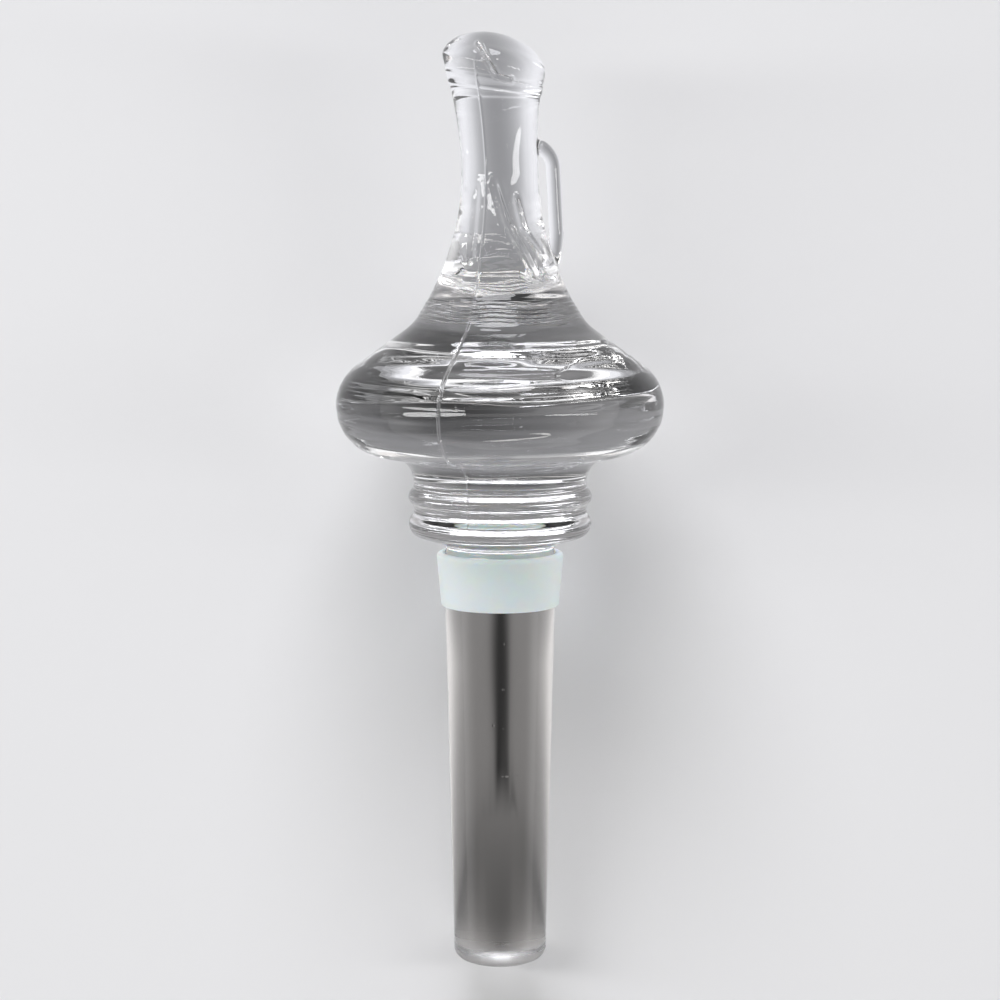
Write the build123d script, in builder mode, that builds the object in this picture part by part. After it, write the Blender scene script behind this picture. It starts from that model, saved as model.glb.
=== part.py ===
from build123d import *
import math
import os

os.makedirs("parts", exist_ok=True)

# Lengths in mm, angles in degrees. A rise is measured along the axis from the feature below.

# Shank: the tapered plug that goes down the neck of the bottle
tip_radius = 7.0
tip_corner_radius = 2.0
tip_dome_rise = 1.0
shank_length = 63.8
shank_draft = 1.45

# Foot: a groove over the shank, two rounded rings and a waist under the bulb
groove_rise = 1.3
groove_depth = 0.45
lower_ring_rise = 3.1
lower_ring_radius = 13.75
lower_ring_curve = 2.0
ring_groove_rise = 2.3
ring_groove_radius = 13.0
upper_ring_rise = 1.7
upper_ring_radius = 13.8
foot_waist_rise = 2.1
foot_waist_radius = 13.0

# Bulb: a discus with a round rim, and a sloping shoulder
bulb_rise = 11.7
bulb_radius = 24.6
bulb_rim_curve = 7.4
shoulder_rise = 12.0
shoulder_radius = 13.3
shoulder_blend = 6.0

# Neck: waisted, then widening and leaning into the head
waist_rise = 23.1
waist_radius = 5.75
lip_rise = 15.2
lip_flare = 2.05
lip_offset = 1.0
lip_tilt = 13.0
throat_shares = (0, 0.35, 0.7, 1)
throat_flare_power = 2.5
throat_lean_power = 1.2
throat_tilt_power = 2.0

# Head: a flattened dome on the tilted lip
dome_rise = 4.9
lip_edge_blend = 1.2

# Handle: a bent rod opposite the lip, placed from the waist of the neck
handle_thickness = 2.1
handle_width = 2.7
handle_root_rise = 3.8
handle_root_depth = 1.05
handle_corner_rise = 2.6
handle_corner_reach = 2.05
handle_corner_curve = 3.6
handle_side_drop = 10.5
handle_side_reach = 2.7
handle_side_curve = 16.0
handle_foot_drop = 16.9
handle_foot_depth = 2.5
handle_root_blend = 0.5

# Collar: the plastic sleeve pushed up the shank as far as the groove
collar_length = 8.1
collar_foot_wall = 0.5
collar_head_wall = 1.05
collar_foot_round = 0.35
collar_head_round = 0.6
collar_fit_gap = 0.02

# Heights over the tip, and the radius of the lip
groove_height = shank_length + groove_rise
lower_ring_height = groove_height + lower_ring_rise
ring_groove_height = lower_ring_height + ring_groove_rise
upper_ring_height = ring_groove_height + upper_ring_rise
foot_waist_height = upper_ring_height + foot_waist_rise
bulb_height = foot_waist_height + bulb_rise
shoulder_height = bulb_height + shoulder_rise
waist_height = shoulder_height + waist_rise
lip_height = waist_height + lip_rise
lip_radius = waist_radius + lip_flare

# Centres of the two rounds that the stopper lies on
tip_corner_centre = (tip_radius - tip_corner_radius, tip_corner_radius + tip_dome_rise)
rim_centre = (bulb_radius - bulb_rim_curve, bulb_height)


def shank_radius(height):
    """Radius of the tapered shank at a height."""
    draft = math.radians(shank_draft)
    rise = height - tip_corner_centre[1]
    return tip_corner_centre[0] + (tip_corner_radius + rise * math.sin(draft)) / math.cos(draft)


def neck_radius(height):
    """Radius of the arc that runs from the waist of the neck down to the shoulder."""
    flare = shoulder_radius - waist_radius
    curve = (waist_rise**2 + flare**2) / (2 * flare)
    return waist_radius + curve - math.sqrt(curve**2 - (waist_height - height) ** 2)


def on_circle(centre, radius, angle):
    """Point of a circle at an angle from the horizontal, in radians."""
    return (centre[0] + radius * math.cos(angle), centre[1] + radius * math.sin(angle))


def touch_point(point, centre, radius, side):
    """Point where a tangent from an outside point meets a circle; side is 1 or -1, the way round."""
    outward = math.atan2(point[1] - centre[1], point[0] - centre[0])
    return on_circle(centre, radius, outward + side * math.acos(radius / math.dist(point, centre)))


def between(start, end, share):
    """Value at a share of the way from start to end."""
    return start + (end - start) * share


def ogee(start, end):
    """Two equal tangent arcs that join two points where the outline runs along the axis."""
    middle = (between(start[0], end[0], 1 / 2), between(start[1], end[1], 1 / 2))
    first = TangentArc(start, middle, tangent=(0, 1))
    TangentArc(middle, end, tangent=first % 1)


# The tip is a shallow dome that runs tangent into its corner round
tip_dome_radius = (math.hypot(*tip_corner_centre) ** 2 - tip_corner_radius**2) / (2 * tip_dome_rise)
tip_dome_angle = math.atan2(tip_corner_centre[1] - tip_dome_radius, tip_corner_centre[0])
tip_dome_end = on_circle(tip_corner_centre, tip_corner_radius, tip_dome_angle)
tip_corner_end = on_circle(tip_corner_centre, tip_corner_radius, -math.radians(shank_draft))

# Under the bulb an arc leaves the foot along the axis and touches the round of the rim
rim_inset = rim_centre[0] - foot_waist_radius
hollow_curve = (rim_inset**2 + bulb_rise**2 - bulb_rim_curve**2) / (2 * (bulb_rim_curve + rim_inset))
hollow_centre = (foot_waist_radius + hollow_curve, foot_waist_height)
hollow_angle = math.atan2(rim_centre[1] - hollow_centre[1], rim_centre[0] - hollow_centre[0])
hollow_end = on_circle(hollow_centre, hollow_curve, hollow_angle)

with BuildPart() as glass_stopper:
    # From the tip to the waist of the neck the glass is turned about the axis
    with BuildSketch(Plane.XZ) as turned:
        with BuildLine():
            dome = TangentArc((0, 0), tip_dome_end, tangent=(1, 0))
            TangentArc(tip_dome_end, tip_corner_end, tangent=dome % 1)
            shank_end = (shank_radius(shank_length), shank_length)
            Line(tip_corner_end, shank_end)
            groove_middle = between(shank_length, groove_height, 1 / 2)
            groove_end = (shank_radius(groove_height), groove_height)
            ThreePointArc(shank_end, (shank_radius(groove_middle) - groove_depth, groove_middle), groove_end)

            lower_crest = (lower_ring_radius, lower_ring_height)
            lower_centre = (lower_ring_radius - lower_ring_curve, lower_ring_height)
            underside = Line(groove_end, touch_point(groove_end, lower_centre, lower_ring_curve, 1))
            TangentArc(underside @ 1, lower_crest, tangent=underside % 1)
            ogee(lower_crest, (ring_groove_radius, ring_groove_height))
            ogee((ring_groove_radius, ring_groove_height), (upper_ring_radius, upper_ring_height))
            ogee((upper_ring_radius, upper_ring_height), (foot_waist_radius, foot_waist_height))

            hollow = TangentArc((foot_waist_radius, foot_waist_height), hollow_end, tangent=(0, 1))
            shoulder = (shoulder_radius, shoulder_height)
            slope_end = touch_point(shoulder, rim_centre, bulb_rim_curve, -1)
            TangentArc(hollow_end, slope_end, tangent=hollow % 1)
            Line(slope_end, shoulder)
            TangentArc((waist_radius, waist_height), shoulder, tangent=(0, -1))
            Line((waist_radius, waist_height), (0, waist_height))
            Line((0, waist_height), (0, 0))
        make_face()
        fillet(turned.vertices().sort_by_distance(shoulder)[0], radius=shoulder_blend)
    revolve(axis=Axis.Z)

    # Above the waist the neck is a loft that widens, leans and tilts up to the lip
    for share in throat_shares:
        station_tilt = math.radians(lip_tilt * share**throat_tilt_power)
        station = Plane(
            origin=(-lip_offset * share**throat_lean_power, 0, between(waist_height, lip_height, share)),
            x_dir=(math.cos(station_tilt), 0, -math.sin(station_tilt)),
            z_dir=(math.sin(station_tilt), 0, math.cos(station_tilt)),
        )
        with BuildSketch(station):
            Circle(between(waist_radius, lip_radius, share**throat_flare_power))
    loft()

    # The head is half an ellipse turned about the tilted axis of the lip
    tilt = math.radians(lip_tilt)
    head_plane = Plane(
        origin=(-lip_offset, 0, lip_height),
        x_dir=(math.cos(tilt), 0, -math.sin(tilt)),
        z_dir=(0, -1, 0),
    )
    with BuildSketch(head_plane):
        with BuildLine():
            EllipticalCenterArc((0, 0), lip_radius, dome_rise, start_angle=0, arc_size=90)
            Polyline((0, dome_rise), (0, 0), (lip_radius, 0))
        make_face()
    revolve(axis=Axis(head_plane.origin, head_plane.y_dir))
    lip_peak = head_plane.from_local_coords((-lip_radius, 0))
    fillet(glass_stopper.edges().sort_by_distance(lip_peak)[0], radius=lip_edge_blend)

    # The handle is swept from inside the neck to inside the shoulder
    foot_height = waist_height - handle_foot_drop
    with BuildLine(Plane.XZ) as handle_path:
        FilletPolyline(
            (waist_radius - handle_root_depth, waist_height + handle_root_rise),
            (waist_radius + handle_corner_reach, waist_height + handle_corner_rise),
            (waist_radius + handle_side_reach, waist_height - handle_side_drop),
            (neck_radius(foot_height) - handle_foot_depth, foot_height),
            radius=(handle_corner_curve, handle_side_curve),
        )
    with BuildSketch(Plane(handle_path.line @ 0, x_dir=(0, 1, 0), z_dir=handle_path.line % 0)):
        Ellipse(handle_width / 2, handle_thickness / 2)
    sweep()
    root_edges = glass_stopper.edges(Select.NEW).filter_by_position(Axis.Z, waist_height, lip_height)
    fillet(root_edges, radius=handle_root_blend)

with BuildPart() as sealing_collar:
    collar_foot = shank_length - collar_length
    foot_bore = shank_radius(collar_foot) + collar_fit_gap
    head_bore = shank_radius(shank_length) + collar_fit_gap
    with BuildSketch(Plane.XZ) as wall:
        foot_edge = (foot_bore + collar_foot_wall, collar_foot)
        head_edge = (head_bore + collar_head_wall, shank_length)
        with BuildLine():
            Polyline((foot_bore, collar_foot), foot_edge, head_edge, (head_bore, shank_length), close=True)
        make_face()
        fillet(wall.vertices().sort_by_distance(foot_edge)[0], radius=collar_foot_round)
        fillet(wall.vertices().sort_by_distance(head_edge)[0], radius=collar_head_round)
    revolve(axis=Axis.Z)

# Laid down as it comes to rest, on the tip and the rim of the bulb, with the handle towards +X
centre_slope = math.atan2(rim_centre[0] - tip_corner_centre[0], rim_centre[1] - tip_corner_centre[1])
centre_distance = math.dist(rim_centre, tip_corner_centre)
rest_tilt = centre_slope + math.asin((bulb_rim_curve - tip_corner_radius) / centre_distance)
lying = Plane((0, 0, 0), x_dir=(1, 0, 0), z_dir=(0, math.cos(rest_tilt), math.sin(rest_tilt))).location
lying_box = glass_stopper.part.moved(lying).bounding_box()
floor_centre = Vector(lying_box.center().X, lying_box.center().Y, lying_box.min.Z)
resting = Location(-floor_centre) * lying

glass_stopper.part.locate(resting)
glass_stopper.part.label = "glass_stopper"
export_step(glass_stopper.part, "parts/glass_stopper.step")

sealing_collar.part.locate(resting)
sealing_collar.part.label = "sealing_collar"
export_step(sealing_collar.part, "parts/sealing_collar.step")
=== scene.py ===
import logging
import math
from collections.abc import Sequence
from dataclasses import dataclass, field
from enum import Enum

import bmesh
import bpy
import numpy as np
from mathutils import Matrix, Vector, noise


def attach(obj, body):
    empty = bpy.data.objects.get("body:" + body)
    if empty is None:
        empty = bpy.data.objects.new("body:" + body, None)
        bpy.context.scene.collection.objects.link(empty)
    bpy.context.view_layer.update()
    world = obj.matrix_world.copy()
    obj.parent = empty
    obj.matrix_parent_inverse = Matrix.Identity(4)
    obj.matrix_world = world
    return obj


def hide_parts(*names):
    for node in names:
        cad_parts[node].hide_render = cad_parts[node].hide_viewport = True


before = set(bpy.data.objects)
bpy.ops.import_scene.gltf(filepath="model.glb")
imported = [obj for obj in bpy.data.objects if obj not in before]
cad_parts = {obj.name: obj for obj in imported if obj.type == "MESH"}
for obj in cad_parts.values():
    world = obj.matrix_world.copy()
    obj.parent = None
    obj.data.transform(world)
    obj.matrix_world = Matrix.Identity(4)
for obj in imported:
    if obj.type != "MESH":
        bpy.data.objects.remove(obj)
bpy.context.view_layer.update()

Point = tuple[float, float]
Place = tuple[float, float, float]
Colour = tuple[float, float, float, float]
Socket = bpy.types.NodeSocket

MM = 0.001
FULL_TURN = 2 * math.pi
FRONT = -math.pi / 2
ALONG_AXIS: Point = (0.0, 1.0)
LEAST_LENGTH = 1e-12
# Places of the colour sockets on a Mix node, where their names repeat.
MIX_SHARE, MIX_FIRST, MIX_SECOND, MIX_RESULT = 0, 6, 7, 2
log = logging.getLogger("glass_stopper")


class Slot(Enum):
    """Material slots of the record that the pieces take their finish from."""

    GLASS = "clear_glass"
    COLLAR = "collar_plastic"


class Way(Enum):
    """Which way round a tangent leaves the circle it touches."""

    ONWARD = 1
    BACK = -1


def lerp(start: float, end: float, share: float) -> float:
    """Value at a share of the way from start to end."""
    return start + (end - start) * share


def smooth_step(low: float, high: float, value: np.ndarray) -> np.ndarray:
    """Soft step from 0 at low to 1 at high."""
    share = np.clip((value - low) / (high - low), 0.0, 1.0)
    return share * share * (3.0 - 2.0 * share)


def bell(value: np.ndarray, width: float) -> np.ndarray:
    """Soft bell of height 1 round zero."""
    return np.exp(-((value / width) ** 2))


def signed_turn(angle: np.ndarray) -> np.ndarray:
    """The same angle, brought between minus and plus half a turn."""
    return (angle + math.pi) % FULL_TURN - math.pi


def on_circle(centre: Point, radius: float, angle: float) -> Point:
    """Point of a circle at an angle from the horizontal."""
    return (centre[0] + radius * math.cos(angle), centre[1] + radius * math.sin(angle))


def touch_point(point: Point, centre: Point, radius: float, way: Way) -> Point:
    """Point where a tangent from an outside point meets a circle.

    Args:
        point: where the tangent starts.
        centre: centre of the circle.
        radius: radius of the circle.
        way: which of the two tangents is meant.

    Returns:
        The point of contact.
    """
    outward = math.atan2(point[1] - centre[1], point[0] - centre[0])
    return on_circle(centre, radius, outward + way.value * math.acos(radius / math.dist(point, centre)))


@dataclass(frozen=True)
class Rest:
    """How the upright stopper is laid down on the floor, on its tip and the rim of its bulb."""

    tilt: float = math.radians(12.0525)
    along: float = -69.0996 * MM
    lift: float = 6.26336 * MM

    @property
    def axis(self) -> Place:
        """Direction of the stopper's axis, from its tip to its head."""
        return (0.0, math.cos(self.tilt), math.sin(self.tilt))

    def place(self, upright: np.ndarray) -> np.ndarray:
        """Lays upright points down.

        Args:
            upright: points as (x, back, height) over the tip, in metres.

        Returns:
            The same points in the row frame.
        """
        x, back, height = upright[..., 0], upright[..., 1], upright[..., 2]
        rise, run = math.sin(self.tilt), math.cos(self.tilt)
        along = back * rise + height * run + self.along
        up = -back * run + height * rise + self.lift
        return np.stack((x, along, up), axis=-1)

    def stand(self, lying: np.ndarray) -> np.ndarray:
        """Stands points upright again.

        Args:
            lying: points in the row frame.

        Returns:
            The same points as (x, back, height) over the tip.
        """
        along, up = lying[..., 1] - self.along, lying[..., 2] - self.lift
        rise, run = math.sin(self.tilt), math.cos(self.tilt)
        return np.stack((lying[..., 0], along * rise - up * run, along * run + up * rise), axis=-1)


class Meridian:
    """Half outline of a turned form: points as (radius, height), gathered from lines and arcs."""

    def __init__(self, start: Point) -> None:
        """Starts the outline, heading away from the axis.

        Args:
            start: its first point.
        """
        self.points: list[Point] = [start]
        self.corners: list[int] = []
        self.heading: Point = (1.0, 0.0)

    def head(self, direction: Point) -> "Meridian":
        """Turns to a direction before the next arc, which may leave a corner here.

        Args:
            direction: the new heading, of any length.

        Returns:
            The outline itself.
        """
        size = math.hypot(*direction)
        self.heading = (direction[0] / size, direction[1] / size)
        return self

    def mark(self) -> "Meridian":
        """Notes that the outline has a corner here, to be softened later."""
        self.corners.append(len(self.points) - 1)
        return self

    def line(self, end: Point, count: int) -> "Meridian":
        """Draws a straight run.

        Args:
            end: where the run ends.
            count: steps that the run is divided into.

        Returns:
            The outline itself.
        """
        start = self.points[-1]
        self.head((end[0] - start[0], end[1] - start[1]))
        for step in range(1, count + 1):
            share = step / count
            self.points.append((lerp(start[0], end[0], share), lerp(start[1], end[1], share)))
        return self

    def arc(self, end: Point, count: int) -> "Meridian":
        """Draws an arc that leaves along the present heading.

        Args:
            end: where the arc ends.
            count: steps that the arc is divided into.

        Returns:
            The outline itself.
        """
        start, along = self.points[-1], self.heading
        side = (-along[1], along[0])
        chord = (end[0] - start[0], end[1] - start[1])
        off = chord[0] * side[0] + chord[1] * side[1]
        radius = (chord[0] ** 2 + chord[1] ** 2) / (2 * off)
        turn = 2 * math.atan2(off, chord[0] * along[0] + chord[1] * along[1])
        for step in range(1, count + 1):
            angle = turn * step / count
            forth, aside = radius * math.sin(angle), radius * (1 - math.cos(angle))
            out = start[0] + forth * along[0] + aside * side[0]
            up = start[1] + forth * along[1] + aside * side[1]
            self.points.append((out, up))
        swing = (math.cos(turn), math.sin(turn))
        self.heading = (
            along[0] * swing[0] + side[0] * swing[1],
            along[1] * swing[0] + side[1] * swing[1],
        )
        return self

    def ogee(self, end: Point, count: int) -> "Meridian":
        """Draws two equal arcs that leave and arrive along the axis.

        Args:
            end: where the second arc ends.
            count: steps in each of the two arcs.

        Returns:
            The outline itself.
        """
        start = self.points[-1]
        self.head(ALONG_AXIS)
        self.arc((lerp(start[0], end[0], 0.5), lerp(start[1], end[1], 0.5)), count)
        return self.arc(end, count)


@dataclass(frozen=True)
class Softening:
    """How the corners of an outline are rounded, by averaging the stations round them."""

    reach: int
    rounds: int

    def apply(self, stations: np.ndarray, corners: Sequence[int]) -> np.ndarray:
        """Rounds the corners of an outline.

        Args:
            stations: one row of values for each station along the outline.
            corners: indices of the stations where it turns sharply.

        Returns:
            The softened stations.
        """
        moving = np.zeros(len(stations), bool)
        for corner in corners:
            moving[max(1, corner - self.reach) : corner + self.reach + 1] = True
        moving[[0, -1]] = False
        for _ in range(self.rounds):
            mean = stations.copy()
            mean[1:-1] = stations[:-2] * 0.25 + stations[1:-1] * 0.5 + stations[2:] * 0.25
            stations = np.where(moving[:, None], mean, stations)
        return stations


@dataclass(frozen=True)
class Stretch:
    """A stretch of heights with soft ends: where it fades in and where it fades out."""

    rise: Point
    fall: Point

    def mask(self, height: np.ndarray) -> np.ndarray:
        """1 inside the stretch and 0 outside it."""
        return smooth_step(*self.rise, height) * (1 - smooth_step(*self.fall, height))


@dataclass(frozen=True)
class Drift:
    """Smooth noise: cells per unit along each axis, and a shift that sets two uses apart."""

    scale: Place
    shift: float

    def at(self, points: np.ndarray) -> np.ndarray:
        """Finds the noise at points.

        Args:
            points: an array of points, whose last axis is x, y, z.

        Returns:
            One value in about -1 to 1 for each point.
        """
        flat = points.reshape(-1, 3) * np.asarray(self.scale) + self.shift
        values = [noise.noise(Vector(place)) for place in flat.tolist()]
        return np.asarray(values).reshape(points.shape[:-1])


@dataclass(frozen=True)
class Fold:
    """A crease pressed into the front of the glass, along points (out, height)."""

    path: tuple[Point, ...]
    depth: float
    width: float
    banks: float = 0.45

    def raised(self, flat: np.ndarray) -> np.ndarray:
        """How far the fold raises the surface.

        Args:
            flat: places as (out, height).

        Returns:
            A height for each place, negative in the fold and slightly raised beside it.
        """
        near = np.full(flat.shape[:2], np.inf)
        for start, end in zip(self.path[:-1], self.path[1:]):
            first, run = np.asarray(start), np.asarray(end) - np.asarray(start)
            share = np.clip(((flat - first) @ run) / (run @ run), 0.0, 1.0)
            near = np.minimum(near, np.linalg.norm(flat - first - share[..., None] * run, axis=-1))
        return self.depth * (self.banks * bell(near - 2 * self.width, self.width) - bell(near, self.width))


@dataclass
class Shank:
    """Sizes of the tapered plug that goes down the neck of the bottle."""

    tip_radius: float = 7.0 * MM
    tip_corner: float = 2.0 * MM
    tip_dome: float = 1.0 * MM
    length: float = 63.8 * MM
    draft: float = math.radians(1.45)

    @property
    def corner_centre(self) -> Point:
        """Centre of the round between the tip and the side."""
        return (self.tip_radius - self.tip_corner, self.tip_corner + self.tip_dome)

    def radius(self, height: float) -> float:
        """Radius of the tapered side at a height over the tip."""
        out, up = self.corner_centre
        return out + (self.tip_corner + (height - up) * math.sin(self.draft)) / math.cos(self.draft)


@dataclass
class Foot:
    """Sizes of the groove, the two rings and the waist under the bulb, as radii and heights."""

    groove_rise: float = 1.3 * MM
    groove_depth: float = 0.45 * MM
    lower_ring: Point = (13.75 * MM, 68.2 * MM)
    lower_curve: float = 2.0 * MM
    between: Point = (13.0 * MM, 70.5 * MM)
    upper_ring: Point = (13.8 * MM, 72.2 * MM)
    waist: Point = (13.0 * MM, 74.3 * MM)


@dataclass
class Bulb:
    """Sizes of the discus with its round rim and sloping shoulder."""

    height: float = 86.0 * MM
    radius: float = 24.6 * MM
    rim_curve: float = 7.4 * MM
    shoulder: Point = (13.3 * MM, 98.0 * MM)
    fine_run: float = 1.1 * MM

    @property
    def rim_centre(self) -> Point:
        """Centre of the round rim."""
        return (self.radius - self.rim_curve, self.height)


@dataclass
class Neck:
    """Sizes of the waisted neck, the leaning throat and the domed head."""

    waist: Point = (5.75 * MM, 121.1 * MM)
    lip_height: float = 136.3 * MM
    lip_radius: float = 7.8 * MM
    lip_offset: float = 1.0 * MM
    lip_tilt: float = math.radians(13.0)
    flare_power: float = 2.5
    lean_power: float = 1.2
    tilt_power: float = 2.0
    dome_rise: float = 4.9 * MM


@dataclass
class Handle:
    """Sizes of the bent rod opposite the lip: its section, and the points (out, height) of its path."""

    thickness: float = 2.1 * MM
    width: float = 2.7 * MM
    swell: float = 0.05
    root: Point = (4.7 * MM, 124.9 * MM)
    corner: Point = (7.8 * MM, 123.7 * MM)
    corner_curve: float = 3.6 * MM
    side: Point = (8.45 * MM, 110.6 * MM)
    side_curve: float = 16.0 * MM
    foot: Point = (7.09 * MM, 104.2 * MM)
    columns: int = 28
    run_steps: int = 10
    bend_steps: int = 22
    foot_steps: int = 12

    def path(self) -> np.ndarray:
        """Draws the middle of the rod, with its two corners rounded.

        Returns:
            Points as (out, height).
        """
        path = Meridian(self.root)
        before = np.asarray(self.root)
        knots = (self.corner, self.side, self.foot)
        for knot, after, curve in zip(knots[:-1], knots[1:], (self.corner_curve, self.side_curve)):
            joint = np.asarray(knot)
            came = (before - joint) / np.linalg.norm(before - joint)
            goes = (np.asarray(after) - joint) / np.linalg.norm(np.asarray(after) - joint)
            trim = curve / math.tan(math.acos(float(came @ goes)) / 2)
            path.line(tuple(joint + came * trim), self.run_steps)
            path.arc(tuple(joint + goes * trim), self.bend_steps)
            before = joint
        path.line(self.foot, self.foot_steps)
        return np.asarray(path.points)


@dataclass
class Marks:
    """Traces of the mould on the glass: seams, chill ripples, streaks, flutes and folds."""

    seams: tuple[float, ...] = (math.radians(-21.0), math.radians(159.0))
    seam_columns: tuple[float, ...] = (0.0, 0.25, 0.5, 0.8, 1.2, 1.9)
    seam_height: float = 0.12 * MM
    seam_width: float = 0.16 * MM
    seam_least_radius: float = 1 * MM
    seam_run: Stretch = Stretch((68.5 * MM, 70.5 * MM), (135.5 * MM, 137.5 * MM))

    ripple_run: Stretch = Stretch((98.6 * MM, 99.4 * MM), (101.6 * MM, 102.4 * MM))
    ripple_pitch: float = 0.62 * MM
    ripple_depth: float = 0.05 * MM
    ripple_waver: Drift = Drift((1.7, 1.7, 0.15), 3.0)
    ripple_shift: float = 0.8
    ripple_strength: Point = (0.7, 0.5)

    streak_run: Stretch = Stretch((74 * MM, 78 * MM), (112 * MM, 120 * MM))
    streak_depth: float = 0.075 * MM
    broad_streaks: Drift = Drift((1.1, 1.1, 0.7), 11.0)
    fine_streaks: Drift = Drift((1.6, 1.6, 1.5), 23.0)
    fine_share: float = 0.7

    flute_run: Stretch = Stretch((100 * MM, 106 * MM), (112 * MM, 120 * MM))
    flute_depth: float = 0.1 * MM
    flute_twist: float = 80.0
    flutes: Drift = Drift((1.7, 1.7, 0.04), 57.0)

    draw_run: Stretch = Stretch((4 * MM, 9 * MM), (52 * MM, 60 * MM))
    draw_depth: float = 0.012 * MM
    draw_lines: Drift = Drift((5.0, 5.0, 0.03), 83.0)

    band_run: Stretch = Stretch((132.6 * MM, 132.9 * MM), (134.4 * MM, 134.7 * MM))
    band_height: float = 0.14 * MM
    sway: Drift = Drift((0.11, 0.11, 0.07), 41.0)
    sway_depth: float = 0.035 * MM
    sway_radii: Point = (1 * MM, 6 * MM)

    fold_fade: float = 1.5 * MM
    folds: tuple[Fold, ...] = (
        Fold(
            path=((-3.1 * MM, 139.4 * MM), (-0.5 * MM, 134.9 * MM), (1.5 * MM, 134.3 * MM)),
            depth=0.4 * MM,
            width=0.2 * MM,
        ),
        Fold(
            path=((-0.8 * MM, 119.1 * MM), (0.9 * MM, 113.5 * MM), (5.2 * MM, 105.8 * MM)),
            depth=0.3 * MM,
            width=0.45 * MM,
        ),
        Fold(
            path=((2.3 * MM, 117.0 * MM), (3.4 * MM, 112.5 * MM), (6.2 * MM, 108.7 * MM)),
            depth=0.2 * MM,
            width=0.4 * MM,
        ),
        Fold(
            path=((-4.6 * MM, 118.2 * MM), (-3.4 * MM, 118.6 * MM), (-4.2 * MM, 108.0 * MM)),
            depth=0.16 * MM,
            width=0.4 * MM,
        ),
    )


@dataclass(frozen=True)
class Steps:
    """How many steps each run of the glass outline is divided into, and how the throat's are spaced."""

    tip_dome: int = 10
    tip_corner: int = 12
    shank: int = 30
    groove: int = 9
    ring_underside: int = 10
    ring_crest: int = 12
    ring_ogee: int = 7
    hollow: int = 28
    rim: int = 54
    slope: int = 26
    slope_end: int = 9
    rippled_neck: int = 52
    neck: int = 34
    throat: int = 60
    throat_power: float = 0.8
    head: int = 52


def mesh_object(name: str, vertices: np.ndarray, faces: list[tuple[int, ...]]) -> bpy.types.Object:
    """Makes a smooth-shaded mesh object whose faces point outwards.

    Args:
        name: name of the object and its mesh.
        vertices: vertex places in the row frame.
        faces: vertex indices of each face.

    Returns:
        The new object, linked to the scene.
    """
    mesh = bpy.data.meshes.new(name)
    mesh.from_pydata(vertices.tolist(), [], faces)
    shell = bmesh.new()
    shell.from_mesh(mesh)
    bmesh.ops.recalc_face_normals(shell, faces=shell.faces)
    shell.to_mesh(mesh)
    shell.free()
    mesh.shade_smooth()
    piece = bpy.data.objects.new(name, mesh)
    bpy.context.scene.collection.objects.link(piece)
    return piece


def ring_faces(rings: int, columns: int) -> list[tuple[int, ...]]:
    """Quads between rings of vertices.

    Args:
        rings: number of rings.
        columns: vertices in each ring.

    Returns:
        The faces as vertex indices.
    """
    faces = []
    for low in range(0, (rings - 1) * columns, columns):
        for column in range(columns):
            after = (column + 1) % columns
            faces.append((low + column, low + after, low + columns + after, low + columns + column))
    return faces


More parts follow.
